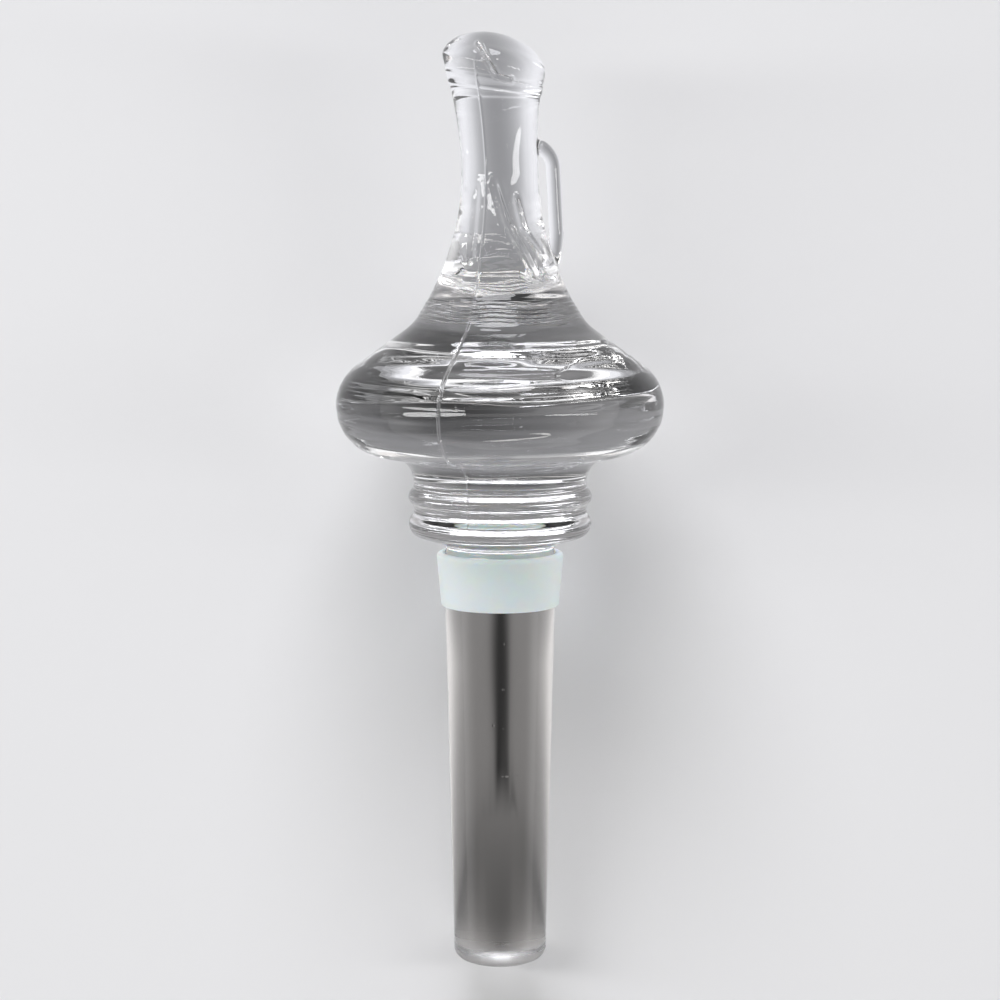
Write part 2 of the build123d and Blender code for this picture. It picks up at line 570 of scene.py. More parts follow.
@dataclass
class GlassStopper:
    """The glass: shank, ringed foot, bulb, neck with its loop handle, and leaning head, in one piece."""

    rest: Rest
    shank: Shank = field(default_factory=Shank)
    foot: Foot = field(default_factory=Foot)
    bulb: Bulb = field(default_factory=Bulb)
    neck: Neck = field(default_factory=Neck)
    handle: Handle = field(default_factory=Handle)
    marks: Marks = field(default_factory=Marks)
    steps: Steps = Steps()
    front_columns: int = 104
    back_columns: int = 86
    front_half: float = math.radians(52.0)
    least_gap: float = math.radians(0.12)
    angle_digits: int = 6
    shoulder_softening: Softening = Softening(reach=8, rounds=26)
    corner_softening: Softening = Softening(reach=4, rounds=5)
    joint_side: float = 2 * MM
    joint_reach: float = 2.2 * MM
    joint_skin: float = 0.55 * MM
    joint_rounds: int = 8
    joint_share: float = 0.5

    def turned_stations(self) -> tuple[np.ndarray, list[int]]:
        """Stations from the tip to the waist of the neck.

        Returns:
            Rows of (radius, sideways offset, height, tilt), and the indices of the corners.
        """
        shank, foot, bulb, neck, steps = self.shank, self.foot, self.bulb, self.neck, self.steps
        centre = shank.corner_centre
        dome = (math.hypot(*centre) ** 2 - shank.tip_corner**2) / (2 * shank.tip_dome)
        dome_end = on_circle(centre, shank.tip_corner, math.atan2(centre[1] - dome, centre[0]))
        side_start = on_circle(centre, shank.tip_corner, -shank.draft)
        outline = Meridian((0.0, 0.0)).arc(dome_end, steps.tip_dome).arc(side_start, steps.tip_corner)
        outline.line((shank.radius(shank.length), shank.length), steps.shank).mark()

        groove_top = shank.length + foot.groove_rise
        groove_end = (shank.radius(groove_top), groove_top)
        dip = 2 * math.atan(2 * foot.groove_depth / foot.groove_rise)
        outline.head((math.sin(shank.draft - dip), math.cos(shank.draft - dip)))
        outline.arc(groove_end, steps.groove).mark()
        crest, curve = foot.lower_ring, foot.lower_curve
        underside_end = touch_point(groove_end, (crest[0] - curve, crest[1]), curve, Way.ONWARD)
        outline.line(underside_end, steps.ring_underside).arc(crest, steps.ring_crest)
        for turn in (foot.between, foot.upper_ring, foot.waist):
            outline.ogee(turn, steps.ring_ogee)

        rim = bulb.rim_centre
        inset, rise = rim[0] - foot.waist[0], rim[1] - foot.waist[1]
        hollow = (inset**2 + rise**2 - bulb.rim_curve**2) / (2 * (bulb.rim_curve + inset))
        hollow_centre = (foot.waist[0] + hollow, foot.waist[1])
        away = math.atan2(rim[1] - hollow_centre[1], rim[0] - hollow_centre[0])
        outline.head(ALONG_AXIS).arc(on_circle(hollow_centre, hollow, away), steps.hollow)
        slope = touch_point(bulb.shoulder, rim, bulb.rim_curve, Way.BACK)
        near = 1 - bulb.fine_run / math.dist(slope, bulb.shoulder)
        near_shoulder = (lerp(slope[0], bulb.shoulder[0], near), lerp(slope[1], bulb.shoulder[1], near))
        outline.arc(slope, steps.rim).line(near_shoulder, steps.slope).line(bulb.shoulder, steps.slope_end)
        shoulder_index = len(outline.points) - 1

        flare = bulb.shoulder[0] - neck.waist[0]
        climb = neck.waist[1] - bulb.shoulder[1]
        sweep = (climb**2 + flare**2) / (2 * flare)
        lead = math.asin(climb / sweep)
        fine_top = self.marks.ripple_run.fall[1] + bulb.fine_run
        fine_out = neck.waist[0] + sweep - math.sqrt(sweep**2 - (neck.waist[1] - fine_top) ** 2)
        outline.head((-math.sin(lead), math.cos(lead)))
        outline.arc((fine_out, fine_top), steps.rippled_neck).arc(neck.waist, steps.neck)
        points = self.shoulder_softening.apply(np.asarray(outline.points), [shoulder_index])
        stations = np.zeros((len(points), 4))
        stations[:, 0], stations[:, 2] = points[:, 0], points[:, 1]
        return stations, outline.corners

    def leaning_stations(self) -> tuple[np.ndarray, int]:
        """Stations of the throat above the waist, which leans, and of the domed head.

        Returns:
            Rows of (radius, sideways offset, height, tilt), and the index of the lip.
        """
        neck, steps = self.neck, self.steps
        share = np.linspace(0.0, 1.0, steps.throat + 1)[1:] ** steps.throat_power
        throat = np.stack(
            (
                lerp(neck.waist[0], neck.lip_radius, share**neck.flare_power),
                -neck.lip_offset * share**neck.lean_power,
                lerp(neck.waist[1], neck.lip_height, share),
                neck.lip_tilt * share**neck.tilt_power,
            ),
            axis=1,
        )
        turn = np.linspace(0.0, math.pi / 2, steps.head + 1)[1:]
        climb = neck.dome_rise * np.sin(turn)
        dome = np.stack(
            (
                neck.lip_radius * np.cos(turn),
                -neck.lip_offset + climb * math.sin(neck.lip_tilt),
                neck.lip_height + climb * math.cos(neck.lip_tilt),
                np.full_like(turn, neck.lip_tilt),
            ),
            axis=1,
        )
        dome[-1, 0] = 0.0
        return np.concatenate((throat, dome)), len(throat) - 1

    def stations(self) -> np.ndarray:
        """Gathers all stations from the tip to the top of the head, with their corners softened.

        Returns:
            Rows of (radius, sideways offset, height, tilt).
        """
        turned, corners = self.turned_stations()
        leaning, lip = self.leaning_stations()
        corners.append(len(turned) + lip)
        return self.corner_softening.apply(np.concatenate((turned, leaning)), corners)

    def azimuths(self) -> np.ndarray:
        """Spaces the columns round the axis, closer together along the seams.

        Returns:
            Their angles from the front, in rising order.
        """
        half = self.front_half
        front = np.linspace(-half, half, self.front_columns, endpoint=False)
        back = np.linspace(half, FULL_TURN - half, self.back_columns, endpoint=False)
        beside = np.radians(self.marks.seam_columns)
        seams = [np.concatenate((seam - beside, seam + beside)) for seam in self.marks.seams]
        angles = signed_turn(np.concatenate((front, back, *seams))).round(self.angle_digits)
        kept: list[float] = []
        for angle in sorted(set(angles.tolist())):
            if not kept or angle - kept[-1] > self.least_gap:
                kept.append(angle)
        return np.asarray(kept)

    @staticmethod
    def wrapped(angles: np.ndarray, height: np.ndarray) -> np.ndarray:
        """Places on a cylinder of radius 1, so that noise round the axis closes on itself."""
        return np.stack(np.broadcast_arrays(np.cos(angles), np.sin(angles), height / MM), axis=-1)

    def relief(self, stations: np.ndarray, azimuths: np.ndarray, points: np.ndarray) -> np.ndarray:
        """How far the mould's traces raise the surface.

        Args:
            stations: rows of (radius, sideways offset, height, tilt).
            azimuths: angle of each column from the front.
            points: upright places of the grid.

        Returns:
            A height over the plain surface for each point of the grid.
        """
        marks = self.marks
        radius, height, angles = stations[:, 0][:, None], stations[:, 2][:, None], azimuths[None, :]
        raised = np.zeros(points.shape[:2])
        for seam in marks.seams:
            across = signed_turn(angles - seam) * np.maximum(radius, marks.seam_least_radius)
            raised += marks.seam_height * marks.seam_run.mask(height) * bell(across, marks.seam_width)

        around = self.wrapped(angles, height)
        waver = marks.ripple_waver.at(around)
        ripple = np.sin(FULL_TURN * (height / marks.ripple_pitch + marks.ripple_shift * waver))
        ripple *= marks.ripple_strength[0] + marks.ripple_strength[1] * waver
        raised += marks.ripple_depth * marks.ripple_run.mask(height) * ripple

        streaks = marks.broad_streaks.at(around) + marks.fine_share * marks.fine_streaks.at(around)
        raised += marks.streak_depth * marks.streak_run.mask(height) * streaks
        slanted = self.wrapped(angles + marks.flute_twist * height, height)
        raised += marks.flute_depth * marks.flute_run.mask(height) * marks.flutes.at(slanted)
        raised += marks.draw_depth * marks.draw_run.mask(height) * marks.draw_lines.at(around)
        raised += marks.band_height * marks.band_run.mask(height)
        raised += marks.sway_depth * marks.sway.at(points / MM) * smooth_step(*marks.sway_radii, radius)

        front = smooth_step(0.0, marks.fold_fade, -points[..., 1])
        for fold in marks.folds:
            raised += front * fold.raised(points[..., [0, 2]])
        return raised

    def body(self) -> bpy.types.Object:
        """Makes the turned and leaning glass, without its handle.

        Returns:
            A closed mesh object.
        """
        stations, azimuths = self.stations(), self.azimuths()
        rings = stations[1:-1]
        radius, offset, height, tilt = (rings[:, index][:, None] for index in range(4))
        out, back = radius * np.cos(azimuths + FRONT), radius * np.sin(azimuths + FRONT)
        points = np.stack((out * np.cos(tilt) + offset, back, height - out * np.sin(tilt)), axis=-1)
        along = np.gradient(points, axis=0)
        around = np.roll(points, -1, axis=1) - np.roll(points, 1, axis=1)
        normal = np.cross(around, along)
        normal /= np.maximum(np.linalg.norm(normal, axis=-1, keepdims=True), LEAST_LENGTH)
        points = points + normal * self.relief(rings, azimuths, points)[..., None]

        ends = np.asarray([(stations[end, 1], 0.0, stations[end, 2]) for end in (0, -1)])
        vertices = np.concatenate((points.reshape(-1, 3), ends))
        count, columns = points.shape[:2]
        faces = ring_faces(count, columns)
        tip, top, last = len(vertices) - 2, len(vertices) - 1, (count - 1) * columns
        for column in range(columns):
            after = (column + 1) % columns
            faces.append((tip, after, column))
            faces.append((top, last + column, last + after))
        return mesh_object("glass_stopper_visual", self.rest.place(vertices), faces)

    def handle_rod(self) -> bpy.types.Object:
        """Makes the bent rod, whose ends lie inside the neck.

        Returns:
            A closed tube.
        """
        handle, path = self.handle, self.handle.path()
        heading = np.gradient(path, axis=0)
        heading /= np.linalg.norm(heading, axis=1, keepdims=True)
        turn = np.linspace(0.0, FULL_TURN, handle.columns, endpoint=False)
        swell = 1.0 + handle.swell * np.sin(np.linspace(0.0, math.pi, len(path)))[:, None]
        across = handle.thickness / 2 * np.cos(turn)[None, :] * swell
        wide = handle.width / 2 * np.sin(turn)[None, :] * swell
        out, up = path[:, :1] - heading[:, 1:] * across, path[:, 1:] + heading[:, :1] * across
        points = np.stack((out, wide, up), axis=-1)
        faces = ring_faces(len(path), handle.columns)
        faces.append(tuple(range(handle.columns)))
        faces.append(tuple(range((len(path) - 1) * handle.columns, len(path) * handle.columns)))
        return mesh_object("handle_rod", self.rest.place(points.reshape(-1, 3)), faces)

    def join(self, body: bpy.types.Object, rod: bpy.types.Object) -> None:
        """Melts the rod into the body and smooths the joints.

        Args:
            body: the glass without its handle, whose mesh is replaced.
            rod: the bent rod, which is removed.
        """
        union = body.modifiers.new("handle", "BOOLEAN")
        union.operation = "UNION"
        union.solver = "MANIFOLD"
        union.object = rod
        graph = bpy.context.evaluated_depsgraph_get()
        merged = bpy.data.meshes.new_from_object(body.evaluated_get(graph))
        body.modifiers.clear()
        body.data = merged
        bpy.data.objects.remove(rod)
        self.smooth_joints(merged)
        merged.shade_smooth()

    def smooth_joints(self, mesh: bpy.types.Mesh) -> None:
        """Draws the glass into a small fillet where the handle meets the neck.

        Args:
            mesh: the joined glass in the row frame.
        """
        points = np.empty(len(mesh.vertices) * 3)
        mesh.vertices.foreach_get("co", points)
        upright = self.rest.stand(points.reshape(-1, 3))
        near = np.full(len(upright), np.inf)
        beside = np.flatnonzero(upright[:, 0] > self.joint_side)
        for out, height in self.handle.path():
            away = np.linalg.norm(upright[beside] - (out, 0.0, height), axis=1)
            near[beside] = np.minimum(near[beside], away)
        stations = self.stations()
        low, high = self.bulb.shoulder[1], self.neck.lip_height
        stations = stations[(stations[:, 2] > low) & (stations[:, 2] < high)]
        skin = np.interp(upright[:, 2], stations[:, 2], stations[:, 0])
        reach = np.hypot(upright[:, 0], upright[:, 1])
        joint = (near < self.joint_reach) & (np.abs(reach - skin) < self.joint_skin)
        shell = bmesh.new()
        shell.from_mesh(mesh)
        shell.verts.ensure_lookup_table()
        moving = [shell.verts[index] for index in np.flatnonzero(joint).tolist()]
        axes = {"use_axis_x": True, "use_axis_y": True, "use_axis_z": True}
        for _ in range(self.joint_rounds):
            bmesh.ops.smooth_vert(shell, verts=moving, factor=self.joint_share, **axes)
        shell.to_mesh(mesh)
        shell.free()

    def build(self) -> bpy.types.Object:
        """Builds the glass in one piece, in place of its CAD solid.

        Returns:
            The piece.
        """
        body = self.body()
        self.join(body, self.handle_rod())
        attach(body, "root")
        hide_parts("glass_stopper")
        return body

    def dress(self, piece: bpy.types.Object, finish: "GlassFinish") -> None:
        """Gives the glass its finish."""
        piece.data.materials.clear()
        piece.data.materials.append(finish.material())


@dataclass
class SealingCollar:
    """The plastic sleeve pushed up the shank as far as the groove."""

    shank: Shank
    rest: Rest
    length: float = 8.1 * MM
    foot_wall: float = 0.5 * MM
    head_wall: float = 1.05 * MM
    foot_round: float = 0.35 * MM
    head_round: float = 0.6 * MM
    fit_gap: float = 0.02 * MM
    columns: int = 160
    foot_steps: int = 3
    foot_round_steps: int = 7
    wall_steps: int = 26
    head_round_steps: int = 9
    head_steps: int = 4
    bore_steps: int = 14

    def section(self) -> np.ndarray:
        """Draws the wall, with its outer corners rounded.

        Returns:
            Points as (radius, height), once round.
        """
        foot, head = self.shank.length - self.length, self.shank.length
        bores = [self.shank.radius(height) + self.fit_gap for height in (foot, head)]
        foot_edge, head_edge = bores[0] + self.foot_wall, bores[1] + self.head_wall
        lean = math.atan2(head_edge - foot_edge, self.length)
        foot_trim = self.foot_round * math.tan((math.pi / 2 - lean) / 2)
        head_trim = self.head_round * math.tan((math.pi / 2 + lean) / 2)
        out, up = math.sin(lean), math.cos(lean)
        wall = Meridian((bores[0], foot)).line((foot_edge - foot_trim, foot), self.foot_steps)
        wall.arc((foot_edge + out * foot_trim, foot + up * foot_trim), self.foot_round_steps)
        wall.line((head_edge - out * head_trim, head - up * head_trim), self.wall_steps)
        wall.arc((head_edge - head_trim, head), self.head_round_steps)
        wall.line((bores[1], head), self.head_steps).line((bores[0], foot), self.bore_steps)
        return np.asarray(wall.points[:-1])

    def build(self) -> bpy.types.Object:
        """Builds the sleeve as a closed ring, in place of its CAD solid.

        Returns:
            The piece.
        """
        section = self.section()
        turn = np.linspace(0.0, FULL_TURN, self.columns, endpoint=False)
        radius, height = section[:, 0][:, None], section[:, 1][:, None]
        grid = np.broadcast_arrays(radius * np.cos(turn), radius * np.sin(turn), height)
        points = np.stack(grid, axis=-1)
        faces = ring_faces(len(section), self.columns)
        last = (len(section) - 1) * self.columns
        for column in range(self.columns):
            after = (column + 1) % self.columns
            faces.append((last + column, last + after, after, column))
        piece = mesh_object("sealing_collar_visual", self.rest.place(points.reshape(-1, 3)), faces)
        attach(piece, "root")
        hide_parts("sealing_collar")
        return piece

    def dress(self, piece: bpy.types.Object, finish: "CollarFinish") -> None:
        """Gives the sleeve its finish."""
        piece.data.materials.clear()
        piece.data.materials.append(finish.material())


class Nodes:
    """A short way to place and link the nodes of one tree."""

    def __init__(self, tree: bpy.types.NodeTree) -> None:
        """Starts from a tree, which is emptied."""
        self.tree = tree
        tree.nodes.clear()

    def add(self, kind: str, **settings: object) -> bpy.types.Node:
        """Places a node.

        Args:
            kind: Blender's name for the node.
            settings: properties of the node to set.

        Returns:
            The new node.
        """
        node = self.tree.nodes.new(kind)
        for name, value in settings.items():
            setattr(node, name, value)
        return node

    def set(self, node: bpy.types.Node, **values: object) -> bpy.types.Node:
        """Sets inputs of a node.

        Args:
            node: the node.
            values: the inputs by name, with underscores for spaces.

        Returns:
            The same node.
        """
        for name, value in values.items():
            node.inputs[name.replace("_", " ")].default_value = value
        return node

    def link(self, source: Socket, target: Socket) -> None:
        """Links an output to an input."""
        self.tree.links.new(source, target)

    def math(self, operation: str, *values: "Socket | float") -> Socket:
        """Places a math node.

        Args:
            operation: Blender's name for the sum.
            values: its inputs, each a number or an output to link.

        Returns:
            The result.
        """
        node = self.add("ShaderNodeMath", operation=operation)
        for index, value in enumerate(values):
            if isinstance(value, Socket):
                self.link(value, node.inputs[index])
            else:
                node.inputs[index].default_value = value
        return node.outputs["Value"]

    def ramp(self, value: Socket, span: Point, ends: Point = (0.0, 1.0), soft: bool = True) -> Socket:
        """Places a step from one value to another.

        Args:
            value: what the step follows.
            span: values at which the step starts and stops.
            ends: results before and after it.
            soft: whether the step starts and stops softly.

        Returns:
            The result.
        """
        kind = "SMOOTHSTEP" if soft else "LINEAR"
        node = self.add("ShaderNodeMapRange", clamp=True, interpolation_type=kind)
        self.set(node, From_Min=span[0], From_Max=span[1], To_Min=ends[0], To_Max=ends[1])
        self.link(value, node.inputs["Value"])
        return node.outputs["Result"]

    def blend(self, share: Socket, first: Colour, second: Colour) -> Socket:
        """Places a mix of two colours.

        Args:
            share: how much of the second colour is in the mix.
            first: colour at a share of 0.
            second: colour at a share of 1.

        Returns:
            The mixed colour.
        """
        node = self.add("ShaderNodeMix", data_type="RGBA")
        node.inputs[MIX_FIRST].default_value = first
        node.inputs[MIX_SECOND].default_value = second
        self.link(share, node.inputs[MIX_SHARE])
        return node.outputs[MIX_RESULT]

    def bump(self, height: Socket, strength: float, distance: float, **settings: object) -> bpy.types.Node:
        """Places a bump node.

        Args:
            height: what raises the surface.
            strength: how much of the bump shows.
            distance: height of the bump.
            settings: properties of the node to set.

        Returns:
            The bump node.
        """
        node = self.set(self.add("ShaderNodeBump", **settings), Strength=strength, Distance=distance)
        self.link(height, node.inputs["Height"])
        return node

    def layer(self, share: Socket, base: Socket, top: Socket) -> Socket:
        """Places a mix of two shaders.

        Args:
            share: how much of the upper shader shows.
            base: the lower shader.
            top: the upper shader.

        Returns:
            The mixed shader.
        """
        node = self.add("ShaderNodeMixShader")
        for index, source in enumerate((share, base, top)):
            self.link(source, node.inputs[index])
        return node.outputs["Shader"]

    def surface(self, shader: Socket) -> None:
        """Places the output of a material and gives it its shader."""
        self.link(shader, self.add("ShaderNodeOutputMaterial").inputs["Surface"])


@dataclass(frozen=True)
class HandlingMarks:
    """Handling marks, drift of tone and specks: one shared group, with scales for each material."""

    mark_scale: float
    drift_scale: float
    speck_scale: float
    speck_size: float
    fine_noise: Point = (5.0, 0.62)
    slow_noise: Point = (2.0, 0.5)
    name: str = "handling_marks"
    inputs: tuple[str, ...] = ("Mark Scale", "Drift Scale", "Speck Scale", "Speck Size")
    outputs: tuple[str, ...] = ("Marks", "Drift", "Specks")

    def group(self) -> bpy.types.NodeTree:
        """Builds the shared group at its first use.

        Returns:
            The node group.
        """
        found = bpy.data.node_groups.get(self.name)
        if found:
            return found
        tree = bpy.data.node_groups.new(self.name, "ShaderNodeTree")
        nodes = Nodes(tree)
        for names, way in ((self.inputs, "INPUT"), (self.outputs, "OUTPUT")):
            for name in names:
                tree.interface.new_socket(name, in_out=way, socket_type="NodeSocketFloat")
        given, out = nodes.add("NodeGroupInput"), nodes.add("NodeGroupOutput")
        place = nodes.add("ShaderNodeTexCoord")
        fine, slow = (
            nodes.set(nodes.add("ShaderNodeTexNoise"), Detail=detail, Roughness=rough)
            for detail, rough in (self.fine_noise, self.slow_noise)
        )
        cells = nodes.add("ShaderNodeTexVoronoi", feature="F1")
        for texture, scale in zip((fine, slow, cells), self.inputs):
            nodes.link(place.outputs["Object"], texture.inputs["Vector"])
            nodes.link(given.outputs[scale], texture.inputs["Scale"])
        near = nodes.math("DIVIDE", cells.outputs["Distance"], given.outputs["Speck Size"])
        specks = nodes.ramp(near, (0.0, 1.0), (1.0, 0.0), soft=False)
        for source, name in zip((fine.outputs["Fac"], slow.outputs["Fac"], specks), self.outputs):
            nodes.link(source, out.inputs[name])
        return tree

    def place(self, nodes: Nodes) -> bpy.types.NodeOutputs:
        """Places the group in a material, with its scales.

        Args:
            nodes: the tree of the material.

        Returns:
            The outputs Marks, Drift and Specks.
        """
        group = nodes.add("ShaderNodeGroup", node_tree=self.group())
        nodes.set(group, Mark_Scale=self.mark_scale, Drift_Scale=self.drift_scale)
        nodes.set(group, Speck_Scale=self.speck_scale, Speck_Size=self.speck_size)
        return group.outputs


def new_material(name: str) -> tuple[bpy.types.Material, Nodes]:
    """Makes an empty node material.

    Args:
        name: name of the material.

    Returns:
        The material and a helper for its nodes.
    """
    material = bpy.data.materials.new(name)
    material.use_nodes = True
    return material, Nodes(material.node_tree)


@dataclass(frozen=True)
class GlassFinish:
    """Clear pressed glass, polished by the fire, with a faint cast, a few seeds and a ground end."""

    tint_low: Colour = (0.955, 0.955, 0.965, 1.0)
    tint_high: Colour = (0.985, 0.985, 0.99, 1.0)
    ior: float = 1.5
    handling: HandlingMarks = HandlingMarks(260.0, 45.0, 330.0, 0.07)
    mark_span: Point = (0.45, 0.8)
    roughness: Point = (0.0, 0.012)
    ground_end: Point = (2.6 * MM, 3.4 * MM)
    ground_roughness: float = 0.45
    wave: float = 0.03
    wave_height: float = 0.1 * MM
    seed: float = 0.25
    seed_depth: float = 0.05 * MM

    def ground(self, nodes: Nodes) -> Socket:
        """Extra roughness of the ground end of the shank.

        Args:
            nodes: the tree of the glass material.

        Returns:
            A socket with the roughness at the end, and 0 above it.
        """
        rest = Rest()
        place = nodes.add("ShaderNodeTexCoord")
        along = nodes.add("ShaderNodeVectorMath", operation="DOT_PRODUCT")
        along.inputs[1].default_value = rest.axis
        nodes.link(place.outputs["Object"], along.inputs[0])
        start = rest.along * rest.axis[1] + rest.lift * rest.axis[2]
        height = nodes.math("SUBTRACT", along.outputs["Value"], start)
        return nodes.ramp(height, self.ground_end, (self.ground_roughness, 0.0))

    def material(self) -> bpy.types.Material:
        """Builds the glass material.

        Returns:
            The material.
        """
        material, nodes = new_material(Slot.GLASS.value)
        glass = nodes.add("ShaderNodeBsdfPrincipled")
        nodes.set(glass, Metallic=0.0, IOR=self.ior, Transmission_Weight=1.0)
        marks = self.handling.place(nodes)
        tint = nodes.blend(marks["Drift"], self.tint_low, self.tint_high)
        rough = nodes.ramp(marks["Marks"], self.mark_span, self.roughness, soft=False)
        wave = nodes.bump(marks["Drift"], self.wave, self.wave_height)
        seeds = nodes.bump(marks["Specks"], self.seed, self.seed_depth, invert=True)
        nodes.link(wave.outputs["Normal"], seeds.inputs["Normal"])
        nodes.link(tint, glass.inputs["Base Color"])
        nodes.link(nodes.math("ADD", rough, self.ground(nodes)), glass.inputs["Roughness"])
        nodes.link(seeds.outputs["Normal"], glass.inputs["Normal"])
        nodes.surface(glass.outputs["BSDF"])
        return material


@dataclass(frozen=True)
class CollarFinish:
    """Milky soft plastic that lets light through, with a slow drift between two pale tones."""

    cool: Colour = (0.76, 0.9, 0.99, 1.0)
    warm: Colour = (0.89, 0.95, 0.97, 1.0)
    ior: float = 1.46
    scatter: Place = (1.0, 0.75, 0.55)
    scatter_scale: float = 1.1 * MM
    handling: HandlingMarks = HandlingMarks(1500.0, 90.0, 700.0, 0.05)
    mark_span: Point = (0.3, 0.7)
    roughness: Point = (0.28, 0.42)
    grain: float = 0.08
    grain_height: float = 0.05 * MM

    def material(self) -> bpy.types.Material:
        """Builds the plastic material.

        Returns:
            The material.
        """
        material, nodes = new_material(Slot.COLLAR.value)
        plastic = nodes.add("ShaderNodeBsdfPrincipled")
        nodes.set(plastic, Metallic=0.0, IOR=self.ior, Subsurface_Weight=1.0)
        nodes.set(plastic, Subsurface_Scale=self.scatter_scale, Subsurface_Radius=self.scatter)
        marks = self.handling.place(nodes)
        tone = nodes.blend(marks["Drift"], self.cool, self.warm)
        rough = nodes.ramp(marks["Marks"], self.mark_span, self.roughness, soft=False)
        grain = nodes.bump(marks["Marks"], self.grain, self.grain_height)
        nodes.link(tone, plastic.inputs["Base Color"])
        nodes.link(rough, plastic.inputs["Roughness"])
        nodes.link(grain.outputs["Normal"], plastic.inputs["Normal"])
        nodes.surface(plastic.outputs["BSDF"])
        return material


@dataclass(frozen=True)
class FloorFinish:
    """Plain pale floor, paler far off. The glass shows it as a glowing white sheet with painted shade: a
    painted soft shadow under the stopper and painted dark marks where it touches.
    """

    low: Colour = (0.755, 0.755, 0.76, 1.0)
    high: Colour = (0.795, 0.795, 0.795, 1.0)
    roughness: float = 0.8
    gloss: float = 0.1
    handling: HandlingMarks = HandlingMarks(220.0, 6.0, 100.0, 0.01)
    far: Point = (250 * MM, 700 * MM)
    far_tone: Colour = (0.8, 0.8, 0.8, 1.0)

    # Glowing sheet that rays leaving the glass see in place of the floor. Its colour is a painted tint of
    # light, warm towards the tip and cool towards the head.
    warm: Colour = (1.0, 0.965, 0.94, 1.0)
    cool: Colour = (0.955, 0.96, 1.0, 1.0)
    cooling: Point = (-25 * MM, 35 * MM)
    # Painted soft shadow on the sheet under the shank, the bulb and the neck: its depths, half widths, and
    # where it grows, narrows, starts and ends.
    painted_shadows: tuple[float, float, float] = (0.8, 0.75, 0.66)
    half_widths: tuple[float, float, float] = (9 * MM, 34 * MM, 15 * MM)
    widening: Point = (-24 * MM, 2 * MM)
    narrowing: Point = (16 * MM, 40 * MM)
    tip: Point = (-80 * MM, -60 * MM)
    head: Point = (72 * MM, 100 * MM)
    # Painted dark spot on the sheet where the bulb's rim touches the floor.
    rim: Point = (-3 * MM, 14.5 * MM)
    rim_shade_depth: float = 0.88
    rim_shade_width: float = 6.5 * MM
    # Painted dark stripe on the sheet under the shank, and a painted contact shadow near its tip.
    painted_stripe: float = 0.88
    stripe_span: tuple[Point, Point] = ((-47 * MM, -37 * MM), (-12 * MM, -4 * MM))
    stripe_growth: Point = (-50 * MM, 4 * MM)
    stripe_widths: Point = (0.03 * MM, 0.7 * MM)
    contact: float = 0.5
    contact_span: tuple[Point, Point] = ((-72 * MM, -66 * MM), (-60 * MM, -32 * MM))
    contact_width: float = 0.8 * MM

    def painted_shade_under(self, nodes: Nodes, x: Socket, y: Socket) -> Socket:
        """Brightness of the glowing sheet that the glass shows, with painted shade under the stopper and
        where it touches.

        Args:
            nodes: the tree of the floor's material.
            x: place across the stopper.
            y: place along the stopper.

        Returns:
            A socket that is 1 in the open.
        """
        # Painted soft shadow along the stopper.
        shank, bulb, neck = self.painted_shadows
        wider = nodes.ramp(y, self.widening, (shank, bulb))
        narrower = nodes.ramp(y, self.narrowing, (shank, neck))
        ends = nodes.math("MULTIPLY", nodes.ramp(y, self.tip), nodes.ramp(y, self.head, (1.0, 0.0)))
        along = nodes.math("MULTIPLY", ends, nodes.math("MINIMUM", wider, narrower))
        shank, bulb, neck = self.half_widths
        wider = nodes.ramp(y, self.widening, (shank, bulb))
        narrower = nodes.ramp(y, self.narrowing, (bulb, neck))
        across = self.bell(nodes, x, nodes.math("MINIMUM", wider, narrower))
        light = self.darken(nodes, 1.0, nodes.math("MULTIPLY", along, across))

        # Painted dark spot under the rim of the bulb.
        beside = self.bell(nodes, nodes.math("SUBTRACT", x, self.rim[0]), self.rim_shade_width)
        before = self.bell(nodes, nodes.math("SUBTRACT", y, self.rim[1]), self.rim_shade_width)
        painted_spot = nodes.math("MULTIPLY", nodes.math("MULTIPLY", beside, before), self.rim_shade_depth)
        light = self.darken(nodes, light, painted_spot)

        # Painted dark stripe and painted contact shadow under the shank.
        for depth, (start, stop), width in (
            (self.painted_stripe, self.stripe_span, nodes.ramp(y, self.stripe_growth, self.stripe_widths)),
            (self.contact, self.contact_span, self.contact_width),
        ):
            rise, fall = nodes.ramp(y, start, (0.0, depth)), nodes.ramp(y, stop, (1.0, 0.0))
            along = nodes.math("MULTIPLY", rise, fall)
            light = self.darken(nodes, light, nodes.math("MULTIPLY", along, self.bell(nodes, x, width)))
        return light

    @staticmethod
    def darken(nodes: Nodes, light: "Socket | float", shade: Socket) -> Socket:
        """Takes a share, given by shade, away from a brightness."""
        return nodes.math("MULTIPLY", light, nodes.math("SUBTRACT", 1.0, shade))

    @staticmethod
    def bell(nodes: Nodes, value: Socket, width: "Socket | float") -> Socket:
        """A soft bell: 1 where the value is 0, and about a third at the width."""
        share = nodes.math("DIVIDE", value, width)
        return nodes.math("EXPONENT", nodes.math("MULTIPLY", nodes.math("MULTIPLY", share, share), -1.0))

    def material(self) -> bpy.types.Material:
        """Builds the floor material.

        Returns:
            The material.
        """
        material, nodes = new_material("studio_floor")
        matt = nodes.add("ShaderNodeBsdfPrincipled")
        nodes.set(matt, Roughness=self.roughness, Specular_IOR_Level=self.gloss)
        marks = self.handling.place(nodes)
        nodes.link(nodes.blend(marks["Drift"], self.low, self.high), matt.inputs["Base Color"])

        place, split = nodes.add("ShaderNodeNewGeometry"), nodes.add("ShaderNodeSeparateXYZ")
        nodes.link(place.outputs["Position"], split.inputs["Vector"])
        x, y = split.outputs["X"], split.outputs["Y"]
